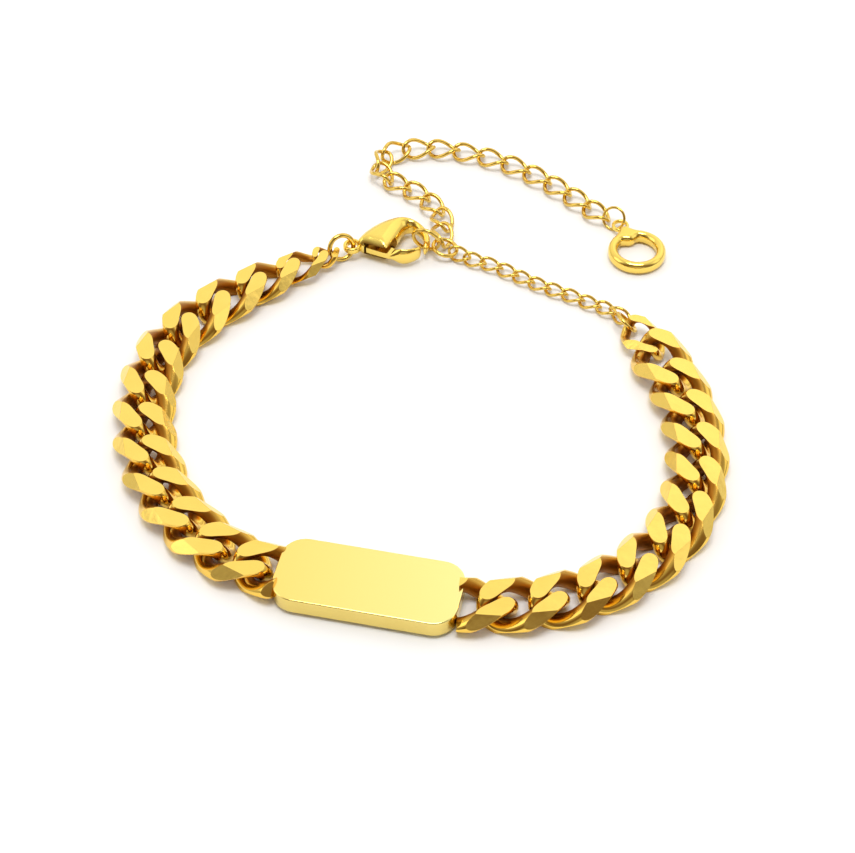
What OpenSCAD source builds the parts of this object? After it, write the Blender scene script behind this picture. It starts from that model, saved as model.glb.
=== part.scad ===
// Chain bracelet, closed and lying flat on z = 0, with its extender behind the loop.
// A curb chain with a blank plate, a lobster clasp, a fine chain, an extender chain
// and a ring charm. Millimetres; X to the right, Y away from the front, Z up.

/* [Curb links] */
// half length of the wire's centreline
link_a = 3.75; // [3.2:0.05:4.4]
// half width of the wire's centreline
link_b = 2.4; // [2.0:0.05:3.2]
// squareness of the oval (2 is an ellipse)
link_n = 2.35; // [2:0.05:3]
// twist of each end out of the flat
link_twist = 62; // [30:1:80]
// width of the wire at the ends
link_wire_w = 1.8; // [1.4:0.05:2.4]
// extra width of the wire along the sides, as a share
link_swell = 0.1; // [0:0.05:0.4]
// height of the wire
link_wire_h = 1.7; // [1.2:0.05:2.2]
// thickness left after grinding flat
link_t = 2.75; // [1.8:0.1:3.2]
// half width where the two bevels meet at mid height
link_half_w = 3.55; // [2.8:0.02:4]
// run of the bevel per millimetre of height
bevel_run = 0.95; // [0.3:0.02:1.5]

/* [Plate] */
// length of the plate
plate_l = 18.7; // [12:0.1:30]
// width of the plate
plate_w = 8.2; // [5:0.1:12]
// thickness of the plate
plate_t = 1.9; // [1:0.1:3]
// corner radius of the plate
plate_r = 2.5; // [0.5:0.1:4]

/* [Small links and rings] */
// wire of the two small end links
end_wire = 1.05; // [0.8:0.05:1.5]
// thickness of the small end links after grinding
end_t = 1.7; // [1.2:0.05:2.4]
// wire of the jump ring at the clasp
jump_wire = 0.55; // [0.4:0.05:0.9]
// wire of the other loose rings
ring_wire = 0.45; // [0.3:0.05:0.7]

/* [Fine chain and extender] */
// wire of the fine chain
fine_wire = 0.36; // [0.25:0.01:0.6]
// half length of a fine link's centreline
fine_a = 1.35; // [0.8:0.01:1.8]
// half width of a fine link's centreline
fine_b = 0.8; // [0.5:0.02:1.2]
// wire of the extender chain
ext_wire = 0.46; // [0.3:0.01:0.8]
// half length of an extender link's centreline
ext_a = 1.87; // [1.2:0.01:2.4]
// half width of an extender link's centreline
ext_b = 1.22; // [0.8:0.02:1.8]
// twist of the chain links' ends
chain_twist = 50; // [20:1:80]

/* [Clasp] */
// height of the clasp's body as it lies on its side
clasp_h = 2.8; // [2:0.1:4]
// radius of the hinge pin
pin_r = 0.4; // [0.25:0.05:0.6]
// gap between pin and lever, and between the lever's boss and the cheeks
pin_gap = 0.06; // [0.03:0.01:0.1]

/* [Charm] */
// outer radius of the ring charm
charm_r = 3.3; // [2:0.1:5]
// radius of its hole
charm_hole = 2.2; // [1:0.05:4]
// height of the charm
charm_h = 1.5; // [1:0.05:2.5]

/* [Hidden] */
gold = [0.93, 0.76, 0.32];
gold_plate = [0.95, 0.80, 0.38];

// curb links from the plate's ends, [pitch, heading]: pitch from the link before, heading of that step
right_start = [5.05, -34.6];
right_row = [[5.07, 1.1], [5.01, 11.3], [4.99, 26.6], [4.95, 40.2], [4.82, 52.9], [4.78, 67.9], [4.74, 80.5],
             [4.75, 90.6], [4.87, 100.1], [4.91, 109.3]];
right_lead = -10;
left_start = [-14.25, -30.45];
left_row = [[4.87, 155.8], [4.82, 139.4], [4.9, 127.7], [4.91, 116.2], [4.89, 106.2], [4.88, 95.5],
            [4.87, 85.1], [4.98, 73.6], [5.06, 56.2], [5.06, 44.2], [4.9, 37.1]];
left_lead = 167;
plate_at = [-5.05, -32.25];
plate_turn = -12.25;
plate_z = 0.4;

// the end links and the connector follow the last full links, [pitch, heading]
end_r_step = [4.48, 114.3];
end_r_turn = 118;
end_l_step = [4.466, 33.18];
end_l_turn = 30.7;
connector_step = [3.025, 29.96];
connector_turn = 35.5;
end_a = 2.75;
end_b = 1.85;
end_half_w = 2.35;
connector_a = 1.4;
connector_b = 1.2;
connector_wire = 0.65;
connector_t = 1.2;
mid_z = link_t / 2;
small_z = 1.3;
// the two links before the clasp step down, as shares of the full link in X, Y and Z
full_link = [1, 1, 1];
slim_link = [1, 0.95, 1];
last_link = [0.9, 0.86, 0.9];
// sections and sides of the meshed wire
link_steps = 14;
link_sides = 7;
connector_steps = 12;
fine_steps = 12;
fine_sides = 5;
ext_steps = 14;
ext_sides = 6;
// how far the two half links reach back under the plate from their middles
half_back_r = 1.3;
half_back_l = 0.7;

// loose rings
jump_at = [-9.06, 17.79, 1.69];
jump_r = 1.44;
jump_turn = 25;
jump_stand = 71;
chain_jump_at = [22.77, 5.81, 1.27];
chain_jump_r = 1.33;
chain_jump_turn = 116;
chain_jump_stand = 49;
clasp_ring_at = [0.6, 19.03, 1.8];
clasp_ring_r = 1.56;
clasp_ring_turn = -21;
clasp_ring_stand = 99;
chain_ring_at = [2.76, 18.48, 1.05];
chain_ring_r = 1.38;
chain_ring_turn = 86;
chain_ring_stand = 13;

// fine chain and extender, [pitch, heading, roll, lift]: roll turns a link about its own length
fine_start = [4.39, 17.66];
fine_row = [[0, -31, 29, 0.12], [2.02, -29.5, 14, 0.09], [2.07, -23, 4, 0.1], [2.1, -30, 6, 0.05],
            [2.12, -33, 0, 0.03], [2.05, -31, 0, 0], [2.11, -28.5, 0, 0.02], [2.08, -27, 0, 0],
            [2.13, -30, 0, 0], [2.09, -31, 0, 0.06], [1.8, -44, 59, 0.32]];
fine_z = 0.62;
ext_start = [2.44, 20.78];
ext_row = [[0, 95, 26, 0.23], [2.72, 90, 10, 0.1], [2.81, 112.9, 5, 0.02], [2.9, 129.8, 0, 0],
           [2.88, 143, 1, 0], [2.31, 138.4, 21, 0.32], [2.08, 94.7, 55, 0.47], [2.58, 51.2, 34, 0.31],
           [2.88, 15.2, 14, 0.22], [3.0, 0, 1, 0.11], [3.06, -12, 1, 0], [3.09, -21, 0, 0],
           [3.12, -29.3, 0, 0], [3.1, -36.6, 0, 0], [3.1, -40.8, 0, 0], [3.1, -44.8, 1, 0],
           [3.1, -46.8, 0, 0]];
ext_z = 0.85;

// clasp, in its own plan: the eye's centre is the origin, X runs to the hook; rows are [x, y]
clasp_at = [-7.85, 18.25, 1.45];
pivot = [2.4, 0];
body_outline = [[0.75, -0.3], [0.6, 0.6], [1.6, 2.1], [3.2, 3.5], [5.2, 4.4], [6.8, 4.15],
                [8.1, 3.0], [8.85, 1.4], [8.9, 0.2], [8.55, -0.75], [8.15, -0.95], [8.1, -0.3],
                [8.1, 0.6], [7.85, 1.7], [7.2, 2.6], [6.5, 2.85], [5.95, 2.4], [5.3, 1.0],
                [4.6, -0.5], [4.15, -1.3], [3.7, -1.5], [2.2, -0.9]];
slot_outline = [[1.35, 1.05], [3.3, 1.05], [5.4, 0.55], [5.4, -3], [0.9, -3], [1.35, -0.7]];
arm_outline = [[4.75, -0.95], [5.3, -1.2], [6.1, -1.35], [7.0, -1.15], [7.7, -0.75],
               [7.8, -1.2], [7.1, -1.8], [6.1, -2.2], [5.0, -2.1], [4.3, -1.85]];
tail_outline = [[1.6, -0.65], [1.75, 0.3], [2.9, 0.65], [5.3, -1.2], [4.9, -2.0], [3.5, -1.5]];
core_h = 1.3;
shoulder_h = 2.3;
slot_h = 1.6;
arm_h = 2.3;
tail_h = 0.7;
arm_clear_r = 2.6;
// where the shoulder and the crown lie along the body, [start, length]
shoulder_span = [0.9, 6.5];
crown_span = [1.2, 5.6];
crown_inset = 0.3;
eye_r = 1.05;
eye_hole_r = 0.6;
eye_h = 0.8;
boss_r = 0.68;
boss_h = slot_h - 2 * pin_gap;
clasp_w = 6;

// charm, its centre and the direction of its eye
charm_at = [24.73, 18.1];
charm_eye_turn = 109.6;
charm_eye_l = 4.8;
charm_eye_hole = 0.64;
charm_eye_r = 1.0;
charm_eye_h = 0.5;
charm_edge = 0.35;
charm_neck_at = 2.8;
charm_neck_r = 1.2;
charm_neck_outline = [[2.8, -1.5], [3.5, -0.9], [4.8, -0.6], [4.8, 0.6], [3.5, 0.9], [2.8, 1.5]];
charm_ring_at = [22.38, 23.41, 1.21];
charm_ring_r = 1.27;
charm_ring_wire = 0.32;
charm_ring_turn = -26;
charm_ring_stand = 55;

// wire loops
function spow(v, p) = sign(v) * pow(abs(v), p);

// point of a twisted oval at angle t
function oval_at(t, a, b, n, twist) =
    let (x = a * spow(cos(t), 2 / n),
         y = b * spow(sin(t), 2 / n),
         f = -twist * x / a)
    [x, y * cos(f), y * sin(f)];

function unit(v) = v / norm(v);

// ring of points round the wire at angle t; w and h are the wire's width and height
function wire_ring(t, a, b, n, twist, w, h, sides) =
    let (p = oval_at(t, a, b, n, twist),
         along = unit(oval_at(t + 2, a, b, n, twist) - oval_at(t - 2, a, b, n, twist)),
         out = [p[0] / (a * a), p[1] / (b * b), 0],
         side = unit(out - (out * along) * along),
         up = cross(along, side))
    [for (j = [0 : sides - 1])
        let (c = (j + 0.5) * 360 / sides)
        p + w / 2 * cos(c) * side + h / 2 * sin(c) * up];

function loop_points(a, b, n, twist, w, h, swell, steps, sides) =
    [for (i = [0 : steps - 1])
        let (t = (i + 0.5) * 360 / steps, wide = w * (1 + swell * pow(sin(t), 2)))
        each wire_ring(t, a, b, n, twist, wide, h, sides)];

function loop_faces(steps, sides, base = 0) =
    [for (i = [0 : steps - 1], j = [0 : sides - 1])
        let (i2 = (i + 1) % steps, j2 = (j + 1) % sides,
             p = base + i * sides + j, q = base + i * sides + j2,
             r = base + i2 * sides + j2, s = base + i2 * sides + j)
        each [[p, r, q], [p, s, r]]];

// turn about X (roll), about Z (heading), then move
function placed(p, roll, heading, at) =
    let (y = p[1] * cos(roll) - p[2] * sin(roll),
         z = p[1] * sin(roll) + p[2] * cos(roll))
    [p[0] * cos(heading) - y * sin(heading) + at[0],
     p[0] * sin(heading) + y * cos(heading) + at[1],
     z + at[2]];

// rows of links
function step_xy(row) = [row[0] * cos(row[1]), row[0] * sin(row[1])];
function row_at(start, rows, i) = i < 0 ? start : row_at(start, rows, i - 1) + step_xy(rows[i]);
end_r_xy = row_at(right_start, right_row, len(right_row) - 1) + step_xy(end_r_step);
end_l_xy = row_at(left_start, left_row, len(left_row) - 1) + step_xy(end_l_step);
connector_xy = end_l_xy + step_xy(connector_step);
// a link turns half way between the step before it and the step after it
function row_turn(rows, lead, i) =
    let (before = i < 0 ? lead : rows[i][1],
         after = i + 1 < len(rows) ? rows[i + 1][1] : rows[i][1])
    (before + after) / 2;

module curb_oval(a, b, wire_w, wire_h, swell, steps, sides) {
    polyhedron(points = loop_points(a, b, link_n, link_twist, wire_w, wire_h, swell, steps, sides),
               faces = loop_faces(steps, sides), convexity = 6);
}

// what is left between the two flats and the four bevels, along X
module ground(t, half_w, l) {
    flat = half_w - bevel_run * t / 2;
    rotate([90, 0, 90])
        linear_extrude(height = 2 * l, center = true)
            polygon([[half_w, 0], [flat, t / 2], [-flat, t / 2],
                     [-half_w, 0], [-flat, -t / 2], [flat, -t / 2]]);
}

module curb_link() {
    intersection() {
        curb_oval(link_a, link_b, link_wire_w, link_wire_h, link_swell, link_steps, link_sides);
        ground(link_t, link_half_w, link_a + link_wire_w);
    }
}

module row_link(start, rows, lead, i, size = full_link) {
    p = row_at(start, rows, i);
    color(gold)
        translate([p[0], p[1], mid_z])
            rotate([0, 0, row_turn(rows, lead, i)])
                scale(size)
                    curb_link();
}

// plate with the two half links soldered to its ends
module half_link(start, turn, back) {
    translate([start[0], start[1], mid_z])
        rotate([0, 0, turn])
            intersection() {
                curb_link();
                translate([-back, -link_a * 2, -link_a])
                    cube([link_a * 3, link_a * 4, link_a * 2]);
            }
}

module bar() {
    x = plate_l / 2 - plate_r;
    y = plate_w / 2 - plate_r;
    union() {
        translate([-x, -plate_w / 2, 0])
            cube([2 * x, plate_w, plate_t]);
        translate([-plate_l / 2, -y, 0])
            cube([plate_l, 2 * y, plate_t]);
        for (sx = [-1, 1], sy = [-1, 1])
            translate([sx * x, sy * y, 0])
                cylinder(r = plate_r, h = plate_t, $fn = 48);
    }
}

module plate() {
    color(gold_plate)
        union() {
            translate([plate_at[0], plate_at[1], plate_z])
                rotate([0, 0, plate_turn])
                    bar();
            half_link(right_start, (right_lead + right_row[0][1]) / 2, half_back_r);
            half_link(left_start, (left_lead + left_row[0][1]) / 2, half_back_l);
        }
}

// small links and rings
module end_link(xy, turn) {
    color(gold)
        translate([xy[0], xy[1], small_z])
            rotate([0, 0, turn])
                intersection() {
                    curb_oval(end_a, end_b, end_wire, end_wire, link_swell, link_steps, link_sides);
                    ground(end_t, end_half_w, end_a + end_wire);
                }
}

module connector() {
    color(gold)
        translate([connector_xy[0], connector_xy[1], small_z])
            rotate([0, 0, connector_turn])
                intersection() {
                    curb_oval(connector_a, connector_b, connector_wire, connector_wire, link_swell,
                              connector_steps, link_sides);
                    ground(connector_t, connector_b * 2, connector_a * 2);
                }
}

// a round wire ring; stand turns it up from the table about its own X axis
module wire_loop(at, r, wire, turn, stand) {
    color(gold)
        translate(at)
            rotate([0, 0, turn])
                rotate([stand, 0, 0])
                    rotate_extrude($fn = 64)
                        translate([r, 0])
                            circle(d = wire, $fn = 24);
}

module jump_ring_clasp() {
    wire_loop(jump_at, jump_r, jump_wire, jump_turn, jump_stand);
}

module jump_ring_chain() {
    wire_loop(chain_jump_at, chain_jump_r, ring_wire, chain_jump_turn, chain_jump_stand);
}

module clasp_ring() {
    wire_loop(clasp_ring_at, clasp_ring_r, ring_wire, clasp_ring_turn, clasp_ring_stand);
}

module chain_ring() {
    wire_loop(chain_ring_at, chain_ring_r, ring_wire, chain_ring_turn, chain_ring_stand);
}

// fine chain and extender, each one set of loops
module link_row(start, rows, z, a, b, wire, steps, sides) {
    ring = loop_points(a, b, 2, chain_twist, wire, wire, 0, steps, sides);
    each_n = steps * sides;
    pts = [for (i = [0 : len(rows) - 1])
              let (p = row_at(start, rows, i), h = row_turn(rows, rows[0][1], i))
              each [for (q = ring) placed(q, rows[i][2], h, [p[0], p[1], z + rows[i][3]])]];
    fcs = [for (i = [0 : len(rows) - 1]) each loop_faces(steps, sides, i * each_n)];
    color(gold)
        polyhedron(points = pts, faces = fcs, convexity = 10);
}

module fine_chain() {
    link_row(fine_start, fine_row, fine_z, fine_a, fine_b, fine_wire, fine_steps, fine_sides);
}

module extender_chain() {
    link_row(ext_start, ext_row, ext_z, ext_a, ext_b, ext_wire, ext_steps, ext_sides);
}

// lobster clasp
// closed smooth curve through the points, k steps for each
function curve(p, k) =
    let (n = len(p))
    [for (i = [0 : n - 1], j = [0 : k - 1])
        let (a = p[(i + n - 1) % n], b = p[i], c = p[(i + 1) % n], d = p[(i + 2) % n], t = j / k)
        ((2 * b) + (c - a) * t + (2 * a - 5 * b + 4 * c - d) * t * t
         + (3 * b - 3 * c + d - a) * t * t * t) / 2];

module slab(h) {
    translate([0, 0, -h / 2])
        linear_extrude(height = h)
            children();
}

// a band across the clasp's plan
module across(span) {
    translate([span[0], -clasp_w])
        square([span[1], 2 * clasp_w]);
}

module clasp_body() {
    color(gold)
        translate(clasp_at)
            union() {
                difference() {
                    union() {
                        slab(core_h)
                            polygon(curve(body_outline, 3));
                        slab(shoulder_h)
                            intersection() {
                                polygon(curve(body_outline, 3));
                                across(shoulder_span);
                            }
                        slab(clasp_h)
                            intersection() {
                                offset(delta = -crown_inset)
                                    polygon(curve(body_outline, 3));
                                across(crown_span);
                            }
                    }
                    slab(slot_h)
                        polygon(slot_outline);
                }
                translate([pivot[0], pivot[1], -shoulder_h / 2])
                    cylinder(r = pin_r, h = shoulder_h, $fn = 32);
                difference() {
                    translate([0, 0, -eye_h / 2])
                        cylinder(r = eye_r, h = eye_h, $fn = 40);
                    translate([0, 0, -eye_h])
                        cylinder(r = eye_hole_r, h = 2 * eye_h, $fn = 40);
                }
            }
}

module clasp_lever() {
    color(gold)
        translate(clasp_at)
            difference() {
                union() {
                    difference() {
                        slab(arm_h)
                            polygon(curve(arm_outline, 3));
                        translate([pivot[0], pivot[1], -clasp_h])
                            cylinder(r = arm_clear_r, h = 2 * clasp_h, $fn = 64);
                    }
                    slab(tail_h)
                        polygon(tail_outline);
                    translate([pivot[0], pivot[1], -boss_h / 2])
                        cylinder(r = boss_r, h = boss_h, $fn = 40);
                }
                translate([pivot[0], pivot[1], -clasp_h])
                    cylinder(r = pin_r + pin_gap, h = 2 * clasp_h, $fn = 32);
            }
}

// ring charm
module charm_profile() {
    polygon([[charm_hole, charm_edge], [charm_hole + charm_edge, 0], [charm_r - charm_edge, 0],
             [charm_r, charm_edge], [charm_r, charm_h - charm_edge],
             [charm_r - charm_edge, charm_h], [charm_hole + charm_edge, charm_h],
             [charm_hole, charm_h - charm_edge]]);
}

module charm() {
    color(gold)
        translate([charm_at[0], charm_at[1], 0])
            rotate([0, 0, charm_eye_turn])
                difference() {
                    union() {
                        rotate_extrude($fn = 72)
                            charm_profile();
                        translate([charm_neck_at, 0, 0])
                            cylinder(r = charm_neck_r, h = charm_h, $fn = 40);
                        translate([0, 0, (charm_h - charm_eye_h) / 2])
                            linear_extrude(height = charm_eye_h)
                                polygon(charm_neck_outline);
                        translate([charm_eye_l, 0, (charm_h - charm_eye_h) / 2])
                            cylinder(r = charm_eye_r, h = charm_eye_h, $fn = 40);
                    }
                    translate([charm_eye_l, 0, -charm_h])
                        cylinder(r = charm_eye_hole, h = 3 * charm_h, $fn = 40);
                }
}

module charm_ring() {
    wire_loop(charm_ring_at, charm_ring_r, charm_ring_wire, charm_ring_turn, charm_ring_stand);
}

plate();
row_link(right_start, right_row, right_lead, 0);  // link_r01
row_link(right_start, right_row, right_lead, 1);  // link_r02
row_link(right_start, right_row, right_lead, 2);  // link_r03
row_link(right_start, right_row, right_lead, 3);  // link_r04
row_link(right_start, right_row, right_lead, 4);  // link_r05
row_link(right_start, right_row, right_lead, 5);  // link_r06
row_link(right_start, right_row, right_lead, 6);  // link_r07
row_link(right_start, right_row, right_lead, 7);  // link_r08
row_link(right_start, right_row, right_lead, 8);  // link_r09
row_link(right_start, right_row, right_lead, 9);  // link_r10
row_link(left_start, left_row, left_lead, 0);  // link_l01
row_link(left_start, left_row, left_lead, 1);  // link_l02
row_link(left_start, left_row, left_lead, 2);  // link_l03
row_link(left_start, left_row, left_lead, 3);  // link_l04
row_link(left_start, left_row, left_lead, 4);  // link_l05
row_link(left_start, left_row, left_lead, 5);  // link_l06
row_link(left_start, left_row, left_lead, 6);  // link_l07
row_link(left_start, left_row, left_lead, 7);  // link_l08
row_link(left_start, left_row, left_lead, 8);  // link_l09
row_link(left_start, left_row, left_lead, 9, slim_link);  // link_l10
row_link(left_start, left_row, left_lead, 10, last_link);  // link_l11
end_link(end_r_xy, end_r_turn);  // end_link_r
end_link(end_l_xy, end_l_turn);  // end_link_l
connector();
jump_ring_clasp();
jump_ring_chain();
clasp_ring();
chain_ring();
fine_chain();
extender_chain();
clasp_body();
clasp_lever();
charm_ring();
charm();
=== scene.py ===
import math
import bpy
import numpy as np
from mathutils import Matrix, Vector
from mathutils.geometry import delaunay_2d_cdt


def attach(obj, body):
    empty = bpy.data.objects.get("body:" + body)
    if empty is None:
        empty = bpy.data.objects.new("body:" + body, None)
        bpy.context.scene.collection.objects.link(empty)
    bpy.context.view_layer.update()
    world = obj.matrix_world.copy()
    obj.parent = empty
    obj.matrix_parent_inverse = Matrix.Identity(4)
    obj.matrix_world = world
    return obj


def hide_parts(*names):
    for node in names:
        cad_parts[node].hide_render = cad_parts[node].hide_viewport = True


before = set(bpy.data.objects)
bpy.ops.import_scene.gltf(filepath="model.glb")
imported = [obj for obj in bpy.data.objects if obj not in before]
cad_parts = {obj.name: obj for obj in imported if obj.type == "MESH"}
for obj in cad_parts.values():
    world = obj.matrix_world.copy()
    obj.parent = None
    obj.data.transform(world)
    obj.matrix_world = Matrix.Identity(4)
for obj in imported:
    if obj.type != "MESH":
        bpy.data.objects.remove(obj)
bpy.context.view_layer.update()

# Camera: a long lens at 46 degrees above the table, in front of the plate.
# The bracelet lies flat on its white table as in a catalogue picture.
MM = 0.001
LOOK = Vector((0.75, -9.0, 0.0)) * MM
ELEVATION = math.radians(46)
DISTANCE = 236.4 * MM
SENSOR, LENS = 36, 93.6
camera_data = bpy.data.cameras.new("camera")
camera_data.sensor_width = SENSOR
camera_data.lens = LENS
camera_data.clip_start = 0.01
camera_data.clip_end = 10
camera = bpy.data.objects.new("camera", camera_data)
camera.location = LOOK + DISTANCE * Vector((0, -math.cos(ELEVATION), math.sin(ELEVATION)))
camera.rotation_euler = (math.pi / 2 - ELEVATION, 0, 0)
bpy.context.scene.collection.objects.link(camera)
bpy.context.scene.camera = camera

# Studio light: bands of glow from front to back and from low to high, with brown cards low
# in front, and four soft boxes: behind, at each side and above. The polished metal mirrors
# all of it, so it sets where the gold looks pale or brown.
STUDIO_GLOW = 1.3
CARD_GREY = 0.4  # whatever is darker than this is a brown card
scene = bpy.context.scene
scene.view_settings.view_transform = "Standard"
scene.view_settings.look = "None"
world = bpy.data.worlds.new("studio")
world.use_nodes = True
sky = world.node_tree.nodes.new("ShaderNodeTexCoord")
split = world.node_tree.nodes.new("ShaderNodeSeparateXYZ")
world.node_tree.links.new(sky.outputs["Generated"], split.inputs["Vector"])


def glow_bands(axis, low, stops):
    # brightness of the studio along one axis, as a ramp
    spread = world.node_tree.nodes.new("ShaderNodeMapRange")
    spread.inputs["From Min"].default_value = low
    bands = world.node_tree.nodes.new("ShaderNodeValToRGB")
    for place, grey in stops:
        brown = max(1 - grey / CARD_GREY, 0)
        stop = bands.color_ramp.elements.new(place)
        stop.color = (grey * (1 + 0.35 * brown), grey * (0.985 - 0.2 * brown),
                      grey * (0.96 - 0.6 * brown), 1)
    bands.color_ramp.elements.remove(bands.color_ramp.elements[0])
    bands.color_ramp.elements.remove(bands.color_ramp.elements[-1])
    world.node_tree.links.new(split.outputs[axis], spread.inputs["Value"])
    world.node_tree.links.new(spread.outputs["Result"], bands.inputs["Fac"])
    return bands.outputs["Color"]


front_to_back = glow_bands("Y", -1.0, ((0.0, 0.5), (0.06, 0.35), (0.12, 0.12), (0.2, 0.15),
                                       (0.34, 0.42), (0.5, 0.62), (0.72, 0.78), (0.86, 0.86),
                                       (1.0, 0.66)))
low_to_high = glow_bands("Z", 0.0, ((0.0, 0.62), (0.12, 0.74), (0.4, 0.95), (0.7, 1.0),
                                    (1.0, 1.0)))
both = world.node_tree.nodes.new("ShaderNodeMix")
both.data_type = "RGBA"
both.blend_type = "MULTIPLY"
both.inputs["Factor"].default_value = 1.0
world.node_tree.links.new(front_to_back, both.inputs["A"])
world.node_tree.links.new(low_to_high, both.inputs["B"])
backdrop = world.node_tree.nodes["Background"]
backdrop.inputs["Strength"].default_value = STUDIO_GLOW
world.node_tree.links.new(both.outputs["Result"], backdrop.inputs["Color"])
scene.world = world


def soft_box(name, place, size_x, size_y, glow):
    # it points at the table's middle; glow is what the metal shows where it mirrors the box
    light = bpy.data.lights.new(name, "AREA")
    light.shape = "RECTANGLE"
    light.size = size_x
    light.size_y = size_y
    light.energy = glow * math.pi * size_x * size_y
    lamp = bpy.data.objects.new(name, light)
    lamp.location = place
    lamp.rotation_euler = (-Vector(place)).to_track_quat("-Z", "Y").to_euler()
    scene.collection.objects.link(lamp)


soft_box("box_back", (0.5, 0.55, 0.62), 0.9, 0.5, 0.25)
soft_box("box_left", (-0.8, -0.05, 0.5), 0.5, 0.7, 0.9)
soft_box("box_right", (0.8, -0.1, 0.5), 0.4, 0.6, 0.5)
soft_box("box_top", (0, -0.1, 0.9), 0.45, 0.35, 7.6)

# Table: one plain white sheet that the bracelet lies on, lit so that it reads as
# pure white with only a soft shadow close to the metal.
TABLE_HALF = 3
table_mesh = bpy.data.meshes.new("table")
table_mesh.from_pydata([(-TABLE_HALF, -TABLE_HALF, 0), (TABLE_HALF, -TABLE_HALF, 0),
                        (TABLE_HALF, TABLE_HALF, 0), (-TABLE_HALF, TABLE_HALF, 0)],
                       [], [(0, 1, 2, 3)])
table = bpy.data.objects.new("table", table_mesh)
scene.collection.objects.link(table)
paper = bpy.data.materials.new("white_paper")
paper.use_nodes = True
sheet = paper.node_tree.nodes["Principled BSDF"]
sheet.inputs["Base Color"].default_value = (0.925, 0.935, 0.95, 1)
sheet.inputs["Roughness"].default_value = 0.9
sheet.inputs["Specular IOR Level"].default_value = 0.1
table.data.materials.append(paper)

# Curb links: twisted ovals of round steel wire, gold plated, ground flat on both faces
# and bevelled at both sides, so each shows a leaf-shaped flat and bright facets.
LINK_A, LINK_B, LINK_N, LINK_TWIST = 3.75, 2.4, 2.35, 62
LINK_W, LINK_H, LINK_SWELL = 1.8, 1.7, 0.1
LINK_T, LINK_HALF_W, BEVEL_RUN = 2.75, 3.55, 0.95
LINK_STEPS, LINK_SIDES = 96, 36
MID_Z = LINK_T / 2
INNER_ROUGH = 0.45
FACE_SLACK = 0.002  # how far from a ground plane a face's middle may lie and still be part of it


def polished_gold(name, colour, rough, grain=900.0, depth=0.02, inner=None, wave=0.0):
    # polished plating: a faint unevenness in tone and gloss, and a very fine polishing grain;
    # inner is the painted shade of the insides, a darker base colour where the wire faces inwards,
    # and wave the unevenness of faces ground by hand
    mat = bpy.data.materials.new(name)
    mat.use_nodes = True
    tree = mat.node_tree
    shader = tree.nodes["Principled BSDF"]
    shader.inputs["Metallic"].default_value = 1.0
    coords = tree.nodes.new("ShaderNodeTexCoord")
    cloud = tree.nodes.new("ShaderNodeTexNoise")
    cloud.inputs["Scale"].default_value = 350.0
    cloud.inputs["Detail"].default_value = 3.0
    tree.links.new(coords.outputs["Object"], cloud.inputs["Vector"])
    tone = tree.nodes.new("ShaderNodeValToRGB")
    tone.color_ramp.elements[0].position = 0.35
    tone.color_ramp.elements[0].color = (colour[0] * 0.97, colour[1] * 0.96, colour[2] * 0.92, 1)
    tone.color_ramp.elements[1].position = 0.65
    tone.color_ramp.elements[1].color = (colour[0], colour[1], colour[2], 1)
    tree.links.new(cloud.outputs["Fac"], tone.inputs["Fac"])
    gloss = tree.nodes.new("ShaderNodeMapRange")
    gloss.inputs["To Min"].default_value = rough * 0.8
    gloss.inputs["To Max"].default_value = rough * 1.25
    tree.links.new(cloud.outputs["Fac"], gloss.inputs["Value"])
    if inner:
        # painted shade: the insides of the links, where the wire faces inwards, get a darker base
        # colour; out of the polisher's reach, they are also less glossy
        reach = tree.nodes.new("ShaderNodeAttribute")
        reach.attribute_name = "reach"
        shaded_tone = tree.nodes.new("ShaderNodeMix")
        shaded_tone.data_type = "RGBA"
        shaded_tone.inputs["A"].default_value = (inner[0], inner[1], inner[2], 1)
        tree.links.new(reach.outputs["Fac"], shaded_tone.inputs["Factor"])
        tree.links.new(tone.outputs["Color"], shaded_tone.inputs["B"])
        tree.links.new(shaded_tone.outputs["Result"], shader.inputs["Base Color"])
        dull = tree.nodes.new("ShaderNodeMix")
        dull.inputs["A"].default_value = INNER_ROUGH
        tree.links.new(reach.outputs["Fac"], dull.inputs["Factor"])
        tree.links.new(gloss.outputs["Result"], dull.inputs["B"])
        tree.links.new(dull.outputs["Result"], shader.inputs["Roughness"])
    else:
        tree.links.new(tone.outputs["Color"], shader.inputs["Base Color"])
        tree.links.new(gloss.outputs["Result"], shader.inputs["Roughness"])
    fine = tree.nodes.new("ShaderNodeTexNoise")
    fine.inputs["Scale"].default_value = grain
    fine.inputs["Detail"].default_value = 2.0
    tree.links.new(coords.outputs["Object"], fine.inputs["Vector"])
    bump = tree.nodes.new("ShaderNodeBump")
    bump.inputs["Strength"].default_value = depth
    bump.inputs["Distance"].default_value = 0.0001
    tree.links.new(fine.outputs["Fac"], bump.inputs["Height"])
    tree.links.new(bump.outputs["Normal"], shader.inputs["Normal"])
    if wave:
        level = tree.nodes.new("ShaderNodeBump")
        level.inputs["Strength"].default_value = wave
        level.inputs["Distance"].default_value = 0.0002
        tree.links.new(cloud.outputs["Fac"], level.inputs["Height"])
        tree.links.new(level.outputs["Normal"], bump.inputs["Normal"])
    return mat


chain_gold = polished_gold("chain_gold", (1.0, 0.71, 0.16), 0.2, 1600.0, 0.05, wave=0.35)
# painted shade: a dark brown base colour for the narrow bevels at the links' edges, standing in for
# the dark line that shade and dark reflections draw there
edge_shade_gold = polished_gold("edge_shade_gold", (0.36, 0.17, 0.02), 0.25)
# painted shade: the wire's inward-facing insides take the dark brown inner colour
wire_gold = polished_gold("wire_gold", (0.92, 0.60, 0.11), 0.1, inner=(0.38, 0.15, 0.015))


def spow(v, p):
    # power that keeps the sign
    return np.sign(v) * np.abs(v) ** p


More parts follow.
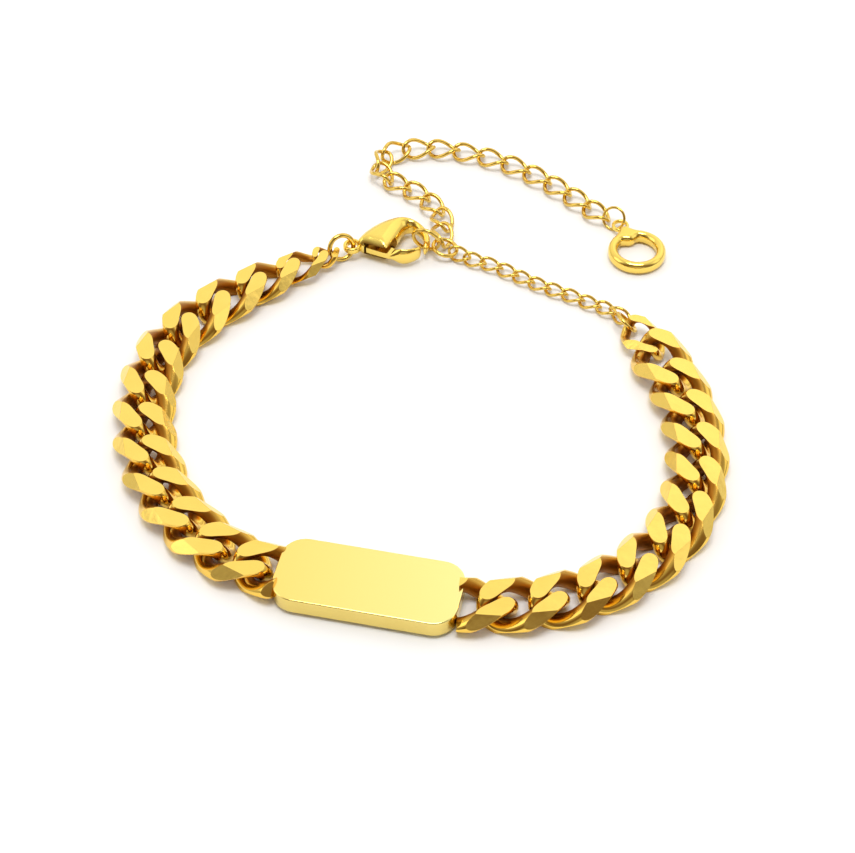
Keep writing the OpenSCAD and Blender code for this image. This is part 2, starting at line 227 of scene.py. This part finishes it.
def oval_at(t, a, b, n, twist):
    # points of the twisted oval's centre line at the angles t
    c, s = np.cos(np.radians(t)), np.sin(np.radians(t))
    x, y = a * spow(c, 2 / n), b * spow(s, 2 / n)
    f = np.radians(-twist * x / a)
    return np.stack([x, y * np.cos(f), y * np.sin(f)], -1)


def unit(v):
    return v / np.linalg.norm(v, axis=-1, keepdims=True)


def wire_oval(a, b, n, twist, w, h, swell, steps, sides):
    # a twisted oval of wire as vertices and quads, about the origin, in millimetres
    # sections are spaced evenly along the wire
    fine = np.arange(1441) / 4
    run = np.linalg.norm(np.diff(oval_at(fine, a, b, n, twist), axis=0), axis=1).cumsum()
    t = np.interp((np.arange(steps) + 0.5) * run[-1] / steps, np.append(0, run), fine)
    p = oval_at(t, a, b, n, twist)
    along = unit(oval_at(t + 2, a, b, n, twist) - oval_at(t - 2, a, b, n, twist))
    out = np.stack([p[:, 0] / a ** 2, p[:, 1] / b ** 2, 0 * t], -1)
    side = unit(out - np.sum(out * along, 1, keepdims=True) * along)
    up = np.cross(along, side)
    wide = w * (1 + swell * np.sin(np.radians(t)) ** 2)
    c = np.radians((np.arange(sides) + 0.5) * 360 / sides)
    points = (p[:, None] + (wide / 2)[:, None, None] * np.cos(c)[None, :, None] * side[:, None]
              + h / 2 * np.sin(c)[None, :, None] * up[:, None]).reshape(-1, 3)
    quads = []
    for i in range(steps):
        for j in range(sides):
            i2, j2 = (i + 1) % steps, (j + 1) % sides
            quads.append((i * sides + j, i * sides + j2, i2 * sides + j2, i2 * sides + j))
    return points, quads


def mesh_object(name, points, faces):
    mesh = bpy.data.meshes.new(name)
    mesh.from_pydata([tuple(p) for p in np.asarray(points) * MM], [], faces)
    thing = bpy.data.objects.new(name, mesh)
    scene.collection.objects.link(thing)
    return thing


def settle(thing):
    # the object's modifiers are applied to its mesh
    bpy.context.view_layer.update()
    graph = bpy.context.evaluated_depsgraph_get()
    mesh = bpy.data.meshes.new_from_object(thing.evaluated_get(graph))
    thing.modifiers.clear()
    thing.data = mesh
    return mesh


def ground(half_w, t, run, front, back):
    # the prism between the two flats and the four bevels, along X
    flat = half_w - run * t / 2
    ring = [(half_w, 0), (flat, t / 2), (-flat, t / 2),
            (-half_w, 0), (-flat, -t / 2), (flat, -t / 2)]
    points = [(x, y, z) for x in (-back, front) for y, z in ring]
    faces = [tuple(range(6)), tuple(range(11, 5, -1))]
    faces += [(k, 6 + k, 6 + (k + 1) % 6, (k + 1) % 6) for k in range(6)]
    return mesh_object("cutter", points, faces)


def cut(thing, cutter, how="INTERSECT"):
    step = thing.modifiers.new("cut", "BOOLEAN")
    step.operation = how
    step.solver = "EXACT"
    step.object = cutter
    settle(thing)
    bpy.data.objects.remove(cutter)


def soften(thing, width, angle=24, segments=2, tint=-1):
    # edges broken by polishing, flats kept flat
    step = thing.modifiers.new("edge", "BEVEL")
    step.limit_method = "ANGLE"
    step.angle_limit = math.radians(angle)
    step.width = width * MM
    step.segments = segments
    step.use_clamp_overlap = True
    # the bevel faces take the material in slot tint; the links use it to paint a dark line of shade
    # along their edges
    step.material = tint
    settle(thing)
    thing.data.shade_smooth()
    step = thing.modifiers.new("normals", "WEIGHTED_NORMAL")
    step.keep_sharp = True
    settle(thing)


def curb_link_mesh(name, a, b, twist, w, h, swell, half_w, t, run, back=None, edge=0.08):
    # one ground link; back cuts it off behind its middle, for the half links at the plate
    points, quads = wire_oval(a, b, LINK_N, twist, w, h, swell, LINK_STEPS, LINK_SIDES)
    thing = mesh_object(name, points, quads)
    past = 3 * a
    cut(thing, ground(half_w, t, run, past, past if back is None else back))
    # slots: satin gold on the ground faces, the wire's own surface, and a painted dark line of shade
    # at the edges
    thing.data.materials.clear()
    thing.data.materials.append(chain_gold)
    thing.data.materials.append(wire_gold)
    thing.data.materials.append(edge_shade_gold)
    for face in thing.data.polygons:
        y, z = abs(face.center[1]) / MM, abs(face.center[2]) / MM
        flat = z > t / 2 - FACE_SLACK or y + run * z > half_w - FACE_SLACK
        face.material_index = 0 if flat else 1
    soften(thing, edge, tint=2)
    # reach: 1 where the wire faces out of the oval, falling to 0 where it faces in; the wire material
    # paints shade and duller gloss where it is low
    reach = thing.data.attributes.new("reach", "FLOAT", "POINT")
    for vert in thing.data.vertices:
        away = Vector((vert.co[0] / a ** 2, vert.co[1] / b ** 2, 0)).normalized()
        reach.data[vert.index].value = min(max(0.5 + 1.4 * vert.normal.dot(away), 0), 1)
    return thing


def step_from(at, pitch, heading):
    f = math.radians(heading)
    return np.array([at[0] + pitch * math.cos(f), at[1] + pitch * math.sin(f)])


def row_places(start, rows):
    # centre and turn of each link: it turns half way between the steps before and after it
    at, spots = start, []
    for i, (pitch, heading) in enumerate(rows):
        at = step_from(at, pitch, heading)
        after = rows[i + 1][1] if i + 1 < len(rows) else heading
        spots.append((at, (heading + after) / 2))
    return spots


def put(thing, x, y, z, turn):
    # moved and turned in its mesh, in millimetres and degrees
    thing.data.transform(Matrix.Translation((x * MM, y * MM, z * MM))
                         @ Matrix.Rotation(math.radians(turn), 4, "Z"))


def copy_of(thing, name):
    other = bpy.data.objects.new(name, thing.data.copy())
    scene.collection.objects.link(other)
    return other


def dress(thing, material, node, body="bracelet"):
    # without a material the thing keeps those that it has
    if material:
        thing.data.materials.clear()
        thing.data.materials.append(material)
    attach(thing, body)
    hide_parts(node)


# pitch and heading of each step, as in the solids
RIGHT_START = (5.05, -34.6)
RIGHT_ROW = [(5.07, 1.1), (5.01, 11.3), (4.99, 26.6), (4.95, 40.2), (4.82, 52.9), (4.78, 67.9),
             (4.74, 80.5), (4.75, 90.6), (4.87, 100.1), (4.91, 109.3)]
LEFT_START = (-14.25, -30.45)
LEFT_ROW = [(4.87, 155.8), (4.82, 139.4), (4.9, 127.7), (4.91, 116.2), (4.89, 106.2),
            (4.88, 95.5), (4.87, 85.1), (4.98, 73.6), (5.06, 56.2), (5.06, 44.2), (4.9, 37.1)]
# the two links before the clasp step down, as shares of the full link in X, Y and Z
STEP_DOWN = {"link_l10": (1, 0.95, 1), "link_l11": (0.9, 0.86, 0.9)}
one_link = curb_link_mesh("one_link", LINK_A, LINK_B, LINK_TWIST, LINK_W, LINK_H, LINK_SWELL,
                          LINK_HALF_W, LINK_T, BEVEL_RUN)
right_spots = row_places(RIGHT_START, RIGHT_ROW)
left_spots = row_places(LEFT_START, LEFT_ROW)
for side, spots in (("r", right_spots), ("l", left_spots)):
    for i, (at, turn) in enumerate(spots):
        name = f"link_{side}{i + 1:02d}"
        link = copy_of(one_link, "gold_" + name)
        link.data.transform(Matrix.Diagonal(STEP_DOWN.get(name, (1, 1, 1)) + (1,)))
        put(link, at[0], at[1], MID_Z, turn)
        dress(link, None, name)
bpy.data.objects.remove(one_link)

# Plate: a flat bar with rounded corners and a polished top, its edges just broken.
# The wire of half a curb link is soldered to each end.
PLATE_AT, PLATE_TURN = (-5.05, -32.25), -12.25
PLATE_L, PLATE_W, PLATE_T, PLATE_R, PLATE_Z = 18.7, 8.2, 1.9, 2.5, 0.4
PLATE_EDGE, CORNER_STEPS = 0.16, 16
HALF_R_TURN, HALF_R_BACK = -4.45, 1.3
HALF_L_TURN, HALF_L_BACK = 161.4, 0.7
plate_gold = polished_gold("plate_gold", (1.0, 0.80, 0.24), 0.16, 1400.0, 0.015)
nodes, links = plate_gold.node_tree.nodes, plate_gold.node_tree.links
place = nodes.new("ShaderNodeSeparateXYZ")
links.new(nodes["Texture Coordinate"].outputs["Object"], place.inputs["Vector"])
along = nodes.new("ShaderNodeMapRange")
along.inputs["From Min"].default_value = -0.014
along.inputs["From Max"].default_value = 0.004
links.new(place.outputs["X"], along.inputs["Value"])
right_sheen = nodes.new("ShaderNodeMix")  # painted sheen: the base colour is paler towards the right end, standing in for brighter reflection there
right_sheen.data_type = "RGBA"
right_sheen.inputs["A"].default_value = (1.0, 0.77, 0.22, 1)
right_sheen.inputs["B"].default_value = (1.0, 0.90, 0.34, 1)
links.new(along.outputs["Result"], right_sheen.inputs["Factor"])
links.new(right_sheen.outputs["Result"], nodes["Principled BSDF"].inputs["Base Color"])
# painted shade: the plate's upright sides take a darker, slightly duller gold than its top, standing
# in for the darker light they catch
plate_side_shade = polished_gold("plate_side_shade", (0.84, 0.66, 0.20), 0.2, 1400.0, 0.015)


def joined(name, things):
    bpy.ops.object.select_all(action="DESELECT")
    for thing in things:
        thing.select_set(True)
    bpy.context.view_layer.objects.active = things[0]
    bpy.ops.object.join()
    things[0].name = name
    return things[0]


def upright(name, outline, low, high):
    # a prism with upright sides over an outline that runs anticlockwise
    n = len(outline)
    return mesh_object(name, [(x, y, z) for z in (low, high) for x, y in outline],
                       [tuple(range(n - 1, -1, -1)), tuple(range(n, 2 * n))]
                       + [(k, (k + 1) % n, n + (k + 1) % n, n + k) for k in range(n)])


corners = []
for sx, sy, start in ((1, 1, 0), (-1, 1, 90), (-1, -1, 180), (1, -1, 270)):
    for k in range(CORNER_STEPS + 1):
        f = math.radians(start + k * 90 / CORNER_STEPS)
        corners.append((sx * (PLATE_L / 2 - PLATE_R) + PLATE_R * math.cos(f),
                        sy * (PLATE_W / 2 - PLATE_R) + PLATE_R * math.sin(f)))
bar = upright("bar", corners, 0, PLATE_T)
soften(bar, PLATE_EDGE, 40, 4)
put(bar, PLATE_AT[0], PLATE_AT[1], PLATE_Z, PLATE_TURN)
parts = [bar]
for at, turn, back in ((RIGHT_START, HALF_R_TURN, HALF_R_BACK),
                       (LEFT_START, HALF_L_TURN, HALF_L_BACK)):
    half = curb_link_mesh("half", LINK_A, LINK_B, LINK_TWIST, LINK_W, LINK_H, LINK_SWELL,
                          LINK_HALF_W, LINK_T, BEVEL_RUN, back)
    put(half, at[0], at[1], MID_Z, turn)
    parts.append(half)
bar.data.materials.append(plate_gold)
bar.data.materials.append(plate_side_shade)
# top and bottom take plate_gold; the upright sides take the darker painted-shade gold
for face in bar.data.polygons:
    face.material_index = 0 if abs(face.normal[2]) > 0.5 else 1
dress(joined("gold_plate_bar", parts), None, "plate")

# End links and connector: the same links made smaller, in thinner wire, that step the
# chain down to the jump rings at the clasp and at the fine chain.
END_A, END_B, END_WIRE, END_T, END_HALF_W = 2.75, 1.85, 1.05, 1.7, 2.35
CON_A, CON_B, CON_WIRE, CON_T = 1.4, 1.2, 0.65, 1.2
SMALL_Z = 1.3
END_R_TURN, END_L_TURN, CON_TURN = 118, 30.7, 35.5
end_r_at = step_from(right_spots[-1][0], 4.48, 114.3)
end_l_at = step_from(left_spots[-1][0], 4.466, 33.18)
con_at = step_from(end_l_at, 3.025, 29.96)
for node, at, turn in (("end_link_r", end_r_at, END_R_TURN), ("end_link_l", end_l_at, END_L_TURN)):
    link = curb_link_mesh("gold_" + node, END_A, END_B, LINK_TWIST, END_WIRE, END_WIRE, LINK_SWELL,
                          END_HALF_W, END_T, BEVEL_RUN, edge=0.03)
    put(link, at[0], at[1], SMALL_Z, turn)
    dress(link, None, node)
link = curb_link_mesh("gold_connector", CON_A, CON_B, LINK_TWIST, CON_WIRE, CON_WIRE, LINK_SWELL,
                      2 * CON_B, CON_T, BEVEL_RUN, edge=0.02)
put(link, con_at[0], con_at[1], SMALL_Z, CON_TURN)
dress(link, None, "connector")

# Loose rings: round wire bent into rings that join clasp, chains and charm.
# Each stands or leans as it lies in the picture.
ring_gold = polished_gold("ring_gold", (0.80, 0.55, 0.12), 0.1)
RING_STEPS, RING_SIDES = 72, 20
RINGS = {  # node: (x, y, z), radius, wire, turn, stand
    "jump_ring_clasp": ((-9.06, 17.79, 1.69), 1.44, 0.55, 25, 71),
    "jump_ring_chain": ((22.77, 5.81, 1.27), 1.33, 0.45, 116, 49),
    "clasp_ring": ((0.6, 19.03, 1.8), 1.56, 0.45, -21, 99),
    "chain_ring": ((2.76, 18.48, 1.05), 1.38, 0.45, 86, 13),
    "charm_ring": ((22.38, 23.41, 1.21), 1.27, 0.32, -26, 55),
}


def ring_of_wire(name, r, wire):
    points, quads = [], []
    steps, sides = RING_STEPS, RING_SIDES
    for i in range(steps):
        f = 2 * math.pi * i / steps
        for j in range(sides):
            g = 2 * math.pi * j / sides
            out = r + wire / 2 * math.cos(g)
            points.append((out * math.cos(f), out * math.sin(f), wire / 2 * math.sin(g)))
            i2, j2 = (i + 1) % steps, (j + 1) % sides
            quads.append((i * sides + j, i2 * sides + j, i2 * sides + j2, i * sides + j2))
    thing = mesh_object(name, points, quads)
    thing.data.shade_smooth()
    return thing


for node, (at, r, wire, turn, stand) in RINGS.items():
    ring = ring_of_wire("gold_" + node, r, wire)
    ring.data.transform(Matrix.Rotation(math.radians(stand), 4, "X"))
    put(ring, at[0], at[1], at[2], turn)
    dress(ring, ring_gold, node)

# Fine chain and extender: rows of small twisted oval links of plain round wire.
# Each row is one piece, and its links pass through each other as in the solids.
CHAIN_N, CHAIN_TWIST, CHAIN_STEPS, CHAIN_SIDES = 2, 50, 48, 14
FINE_A, FINE_B, FINE_WIRE = 1.35, 0.8, 0.36
EXT_A, EXT_B, EXT_WIRE = 1.87, 1.22, 0.46
# each row gives pitch, heading, roll and lift of its links
FINE_START, FINE_Z = (4.39, 17.66), 0.62
FINE_ROW = [(0, -31, 29, 0.12), (2.02, -29.5, 14, 0.09), (2.07, -23, 4, 0.1), (2.1, -30, 6, 0.05),
            (2.12, -33, 0, 0.03), (2.05, -31, 0, 0), (2.11, -28.5, 0, 0.02), (2.08, -27, 0, 0),
            (2.13, -30, 0, 0), (2.09, -31, 0, 0.06), (1.8, -44, 59, 0.32)]
EXT_START, EXT_Z = (2.44, 20.78), 0.85
EXT_ROW = [(0, 95, 26, 0.23), (2.72, 90, 10, 0.1), (2.81, 112.9, 5, 0.02), (2.9, 129.8, 0, 0),
           (2.88, 143, 1, 0), (2.31, 138.4, 21, 0.32), (2.08, 94.7, 55, 0.47), (2.58, 51.2, 34, 0.31),
           (2.88, 15.2, 14, 0.22), (3.0, 0, 1, 0.11), (3.06, -12, 1, 0), (3.09, -21, 0, 0),
           (3.12, -29.3, 0, 0), (3.1, -36.6, 0, 0), (3.1, -40.8, 0, 0), (3.1, -44.8, 1, 0),
           (3.1, -46.8, 0, 0)]


def chain_row(name, start, rows, z, a, b, wire):
    shape, quads = wire_oval(a, b, CHAIN_N, CHAIN_TWIST, wire, wire, 0, CHAIN_STEPS, CHAIN_SIDES)
    at, points, faces = start, [], []
    for i, (pitch, heading, roll, lift) in enumerate(rows):
        at = step_from(at, pitch, heading)
        after = rows[i + 1][1] if i + 1 < len(rows) else heading
        f, g = math.radians((heading + after) / 2), math.radians(roll)
        y = shape[:, 1] * math.cos(g) - shape[:, 2] * math.sin(g)
        up = shape[:, 1] * math.sin(g) + shape[:, 2] * math.cos(g)
        points.append(np.stack([shape[:, 0] * math.cos(f) - y * math.sin(f) + at[0],
                                shape[:, 0] * math.sin(f) + y * math.cos(f) + at[1],
                                up + z + lift], -1))
        faces += [tuple(v + i * len(shape) for v in q) for q in quads]
    thing = mesh_object(name, np.concatenate(points), faces)
    thing.data.shade_smooth()
    return thing


dress(chain_row("gold_fine_chain", FINE_START, FINE_ROW, FINE_Z, FINE_A, FINE_B, FINE_WIRE),
      ring_gold, "fine_chain")
dress(chain_row("gold_extender_chain", EXT_START, EXT_ROW, EXT_Z, EXT_A, EXT_B, EXT_WIRE),
      ring_gold, "extender_chain")

# Lobster clasp: a cast, rounded body with an eye, a slot and a hook, and a lever that
# turns on a pin in the slot and closes the mouth.
CLASP_AT = (-7.85, 18.25, 1.45)
CLASP_HALF_H, CLASP_ROUND = 1.4, 1.5
PIVOT, BOSS_R, BOSS_HALF_H = (2.4, 0), 0.68, 0.74
SLOT_HALF_H, TAIL_HALF_H = 0.8, 0.35
ARM_HALF_H, ARM_ROUND, ARM_WALL = 1.15, 0.62, 0.06
ARM_FROM, ARM_GROWS, ARM_LEAST = 4.2, 1.5, 0.4
EYE_R, EYE_HOLE, EYE_HALF_H, EYE_ROUND, EYE_WALL = 1.05, 0.6, 0.4, 0.225, 0.15
OUTLINE_STEPS = 6  # points from one corner of an outline to the next
BODY = [(0.75, -0.3), (0.6, 0.6), (1.6, 2.1), (3.2, 3.5), (5.2, 4.4), (6.8, 4.15), (8.1, 3.0),
        (8.85, 1.4), (8.9, 0.2), (8.55, -0.75), (8.15, -0.95), (8.1, -0.3), (8.1, 0.6),
        (7.85, 1.7), (7.2, 2.6), (6.5, 2.85), (5.95, 2.4), (5.3, 1.0), (4.6, -0.5),
        (4.15, -1.3), (3.7, -1.5), (2.2, -0.9)]
ARM = [(4.75, -0.95), (5.3, -1.2), (6.1, -1.35), (7.0, -1.15), (7.7, -0.75), (7.8, -1.2),
       (7.1, -1.8), (6.1, -2.2), (5.0, -2.1), (4.3, -1.85)]
TAIL = [(1.6, -0.65), (1.75, 0.3), (2.9, 0.65), (5.3, -1.2), (4.9, -2.0), (3.5, -1.5)]
SLOT = [(1.35, 1.05), (3.3, 1.05), (5.4, 0.55), (5.4, -3), (0.9, -3), (1.35, -0.7)]


def smooth_loop(points):
    # a smooth closed curve through the points
    p, out = np.array(points, float), []
    n = len(p)
    for i in range(n):
        a, b, c, d = p[i - 1], p[i], p[(i + 1) % n], p[(i + 2) % n]
        for t in np.arange(OUTLINE_STEPS) / OUTLINE_STEPS:
            out.append((2 * b + (c - a) * t + (2 * a - 5 * b + 4 * c - d) * t * t
                        + (3 * b - 3 * c + d - a) * t ** 3) / 2)
    return np.array(out)


def inside(points, loop):
    # which of the points lie inside the loop
    x, y = points[:, 0], points[:, 1]
    hit = np.zeros(len(points), bool)
    for (x0, y0), (x1, y1) in zip(loop, np.roll(loop, -1, 0)):
        crosses = (y0 > y) != (y1 > y)
        hit ^= crosses & (x < (x1 - x0) * (y - y0) / ((y1 - y0) or 1e-12) + x0)
    return hit


def depth_in(points, loops):
    # distance of each point from the nearest of the loops
    best = np.full(len(points), 1e9)
    for loop in loops:
        for p, q in zip(loop, np.roll(loop, -1, 0)):
            d = q - p
            t = np.clip(((points - p) @ d) / max(d @ d, 1e-12), 0, 1)
            best = np.minimum(best, np.linalg.norm(points - p - t[:, None] * d, axis=1))
    return best


def cushion(name, outer, holes, half_h, round_r, wall=0.0, gap=0.16):
    # a flat outline swollen to a rounded solid, level in the middle: height follows depth,
    # from wall at the rim to half_h at round_r inside it; gap is the mesh's spacing
    loops = [np.asarray(outer)] + [np.asarray(h) for h in holes]
    border = np.concatenate(loops)
    inner = []
    for loop in loops:
        step = np.roll(loop, -1, 0) - np.roll(loop, 1, 0)
        normal = unit(np.stack([-step[:, 1], step[:, 0]], -1))
        for d in np.array([0.03, 0.09, 0.18, 0.32, 0.5, 0.72]) * round_r:
            for sign in (1, -1):
                q = loop + sign * d * normal
                inner.append(q[depth_in(q, loops) > 0.93 * d])
    low, high = border.min(0), border.max(0)
    grid = np.stack(np.meshgrid(np.arange(low[0], high[0], gap), np.arange(low[1], high[1], gap)),
                    -1).reshape(-1, 2)
    inner.append(grid[depth_in(grid, loops) > 0.75 * round_r])
    inner = np.concatenate(inner)
    good = inside(inner, loops[0])
    for hole in loops[1:]:
        good &= ~inside(inner, hole)
    inner = inner[good]
    points = np.concatenate([border, inner])
    edges, start = [], 0
    for loop in loops:
        m = len(loop)
        edges += [(start + k, start + (k + 1) % m) for k in range(m)]
        start += m
    flat, _, tris, _, _, _ = delaunay_2d_cdt([Vector(p) for p in points], edges, [], 0, 1e-6)
    flat = np.array([tuple(v) for v in flat])
    mid = np.array([flat[list(t)].mean(0) for t in tris])
    keep = inside(mid, loops[0])
    for hole in loops[1:]:
        keep &= ~inside(mid, hole)
    tris = [t for t, k in zip(tris, keep) if k]
    depth = depth_in(flat, loops)
    rise = wall + (half_h - wall) * np.sqrt(1 - (1 - np.clip(depth / round_r, 0, 1)) ** 2)
    n = len(flat)
    rim = depth < 1e-5
    top = np.column_stack([flat, rise])
    bottom = np.column_stack([flat, -rise])
    faces = [tuple(t) for t in tris]
    if wall == 0:
        low_index = np.where(rim, np.arange(n), np.arange(n) + n)
        faces += [tuple(int(low_index[v]) for v in reversed(t)) for t in tris]
    else:
        faces += [tuple(v + n for v in reversed(t)) for t in tris]
        used = dict.fromkeys((u, v) for t in tris for u, v in zip(t, t[1:] + t[:1]))
        for u, v in used:
            if (v, u) not in used:
                faces.append((v, u, u + n, v + n))
    thing = mesh_object(name, np.concatenate([top, bottom]), faces)
    thing.data.shade_smooth()
    return thing


def circle(r, x=0.0, y=0.0, k=48):
    f = np.arange(k) * 2 * math.pi / k
    return np.stack([x + r * np.cos(f), y + r * np.sin(f)], -1)


def prism(name, outline, half_h):
    # a prism about the middle plane; a clockwise outline is turned round
    outline = np.array(outline)
    if np.cross(outline, np.roll(outline, -1, 0)).sum() < 0:
        outline = outline[::-1]
    return upright(name, outline, -half_h, half_h)


clasp_gold = polished_gold("clasp_gold", (0.97, 0.71, 0.16), 0.14)
body = cushion("gold_clasp_body", smooth_loop(BODY), [], CLASP_HALF_H, CLASP_ROUND)
cut(body, prism("slot", SLOT, SLOT_HALF_H), "DIFFERENCE")
body.data.shade_smooth()
# inside the slot the casting is left dull, and painted dark as the shade of the recess
slot_shade_gold = polished_gold("slot_shade_gold", (0.30, 0.15, 0.02), 0.4)
body.data.materials.append(clasp_gold)
body.data.materials.append(slot_shade_gold)
slot_loop = np.array(SLOT)
for face in body.data.polygons:
    spot = np.array([face.center[:2]]) / MM
    deep = inside(spot, slot_loop)[0] or depth_in(spot, [slot_loop])[0] < 0.02
    face.material_index = 1 if deep and abs(face.center[2]) / MM < SLOT_HALF_H + 0.01 else 0
eye = cushion("eye", circle(EYE_R), [circle(EYE_HOLE, k=40)], EYE_HALF_H, EYE_ROUND, EYE_WALL, 0.1)
eye.data.materials.append(clasp_gold)
body = joined("gold_clasp_body", [body, eye])
put(body, *CLASP_AT, 0)
dress(body, None, "clasp_body")

arm = cushion("arm", smooth_loop(ARM), [], ARM_HALF_H, ARM_ROUND, ARM_WALL, 0.12)
for vert in arm.data.vertices:  # the arm grows out of the narrow strip that runs into the slot
    grow = min(max((vert.co[0] / MM - ARM_FROM) / ARM_GROWS, 0), 1)
    vert.co[2] *= ARM_LEAST + (1 - ARM_LEAST) * grow * grow * (3 - 2 * grow)
tail = prism("tail", TAIL, TAIL_HALF_H)
boss = prism("boss", circle(BOSS_R, *PIVOT), BOSS_HALF_H)
# the boss sits in the slot, so it takes the same painted shade
for piece, gold in ((arm, clasp_gold), (tail, clasp_gold), (boss, slot_shade_gold)):
    piece.data.materials.append(gold)
lever = joined("gold_clasp_lever", [arm, tail, boss])
put(lever, *CLASP_AT, 0)
dress(lever, None, "clasp_lever", "lever")

# Charm: a small cast ring of gold-plated metal with a rounded rim. A neck inside and outside
# the ring ends in a thin eye that takes its wire ring.
CHARM_AT, CHARM_TURN = (24.73, 18.1), 109.6
CHARM_R, CHARM_HOLE, CHARM_H, CHARM_ROUND, CHARM_WALL = 3.3, 2.2, 1.5, 0.55, 0.12
NECK_AT, NECK_R = 2.8, 1.2
LOOP_AT, LOOP_R, LOOP_HOLE, LOOP_HALF_H = 4.8, 1.0, 0.64, 0.25
RAYS, RAY_REACH = 180, 3


def outline_of(shape_test, furthest):
    # the outline of a star-shaped form: the furthest point inside it on each ray
    out = []
    for f in np.arange(RAYS) * 2 * math.pi / RAYS:
        lo, hi = 0.0, furthest
        for _ in range(24):
            mid = (lo + hi) / 2
            if shape_test(mid * math.cos(f), mid * math.sin(f)):
                lo = mid
            else:
                hi = mid
        out.append((lo * math.cos(f), lo * math.sin(f)))
    return np.array(out)


hole = outline_of(lambda x, y: math.hypot(x, y) < CHARM_HOLE and math.hypot(x - NECK_AT, y) > NECK_R,
                  RAY_REACH)
ray = np.linalg.norm(hole, axis=1)
soft = np.mean([np.roll(ray, k) for k in range(-4, 5)], axis=0)
hole *= (soft / ray)[:, None]  # the neck runs smoothly into the ring
# the neck flares out of the ring towards its eye: angle and radius of the rim
flare = [(0.0, 4.15), (5.0, 4.12), (9.0, 4.0), (11.5, 3.72), (15.0, 3.52), (20.0, 3.38),
         (28.0, CHARM_R)]


def rim_reach(f):
    f = abs((f + 180) % 360 - 180)
    for (f0, r0), (f1, r1) in zip(flare, flare[1:]):
        if f < f1:
            return r0 + (r1 - r0) * (f - f0) / (f1 - f0)
    return CHARM_R


outer = np.array([(rim_reach(f) * math.cos(math.radians(f)),
                   rim_reach(f) * math.sin(math.radians(f))) for f in np.arange(0, 360, 3)])
rim = cushion("rim", outer, [hole], CHARM_H / 2, CHARM_ROUND, CHARM_WALL, 0.1)
loop = cushion("loop", circle(LOOP_R, LOOP_AT), [circle(LOOP_HOLE, LOOP_AT, k=40)], LOOP_HALF_H,
               0.18, 0.08, 0.1)
charm = joined("gold_charm", [rim, loop])
put(charm, CHARM_AT[0], CHARM_AT[1], CHARM_H / 2, CHARM_TURN)
dress(charm, clasp_gold, "charm")
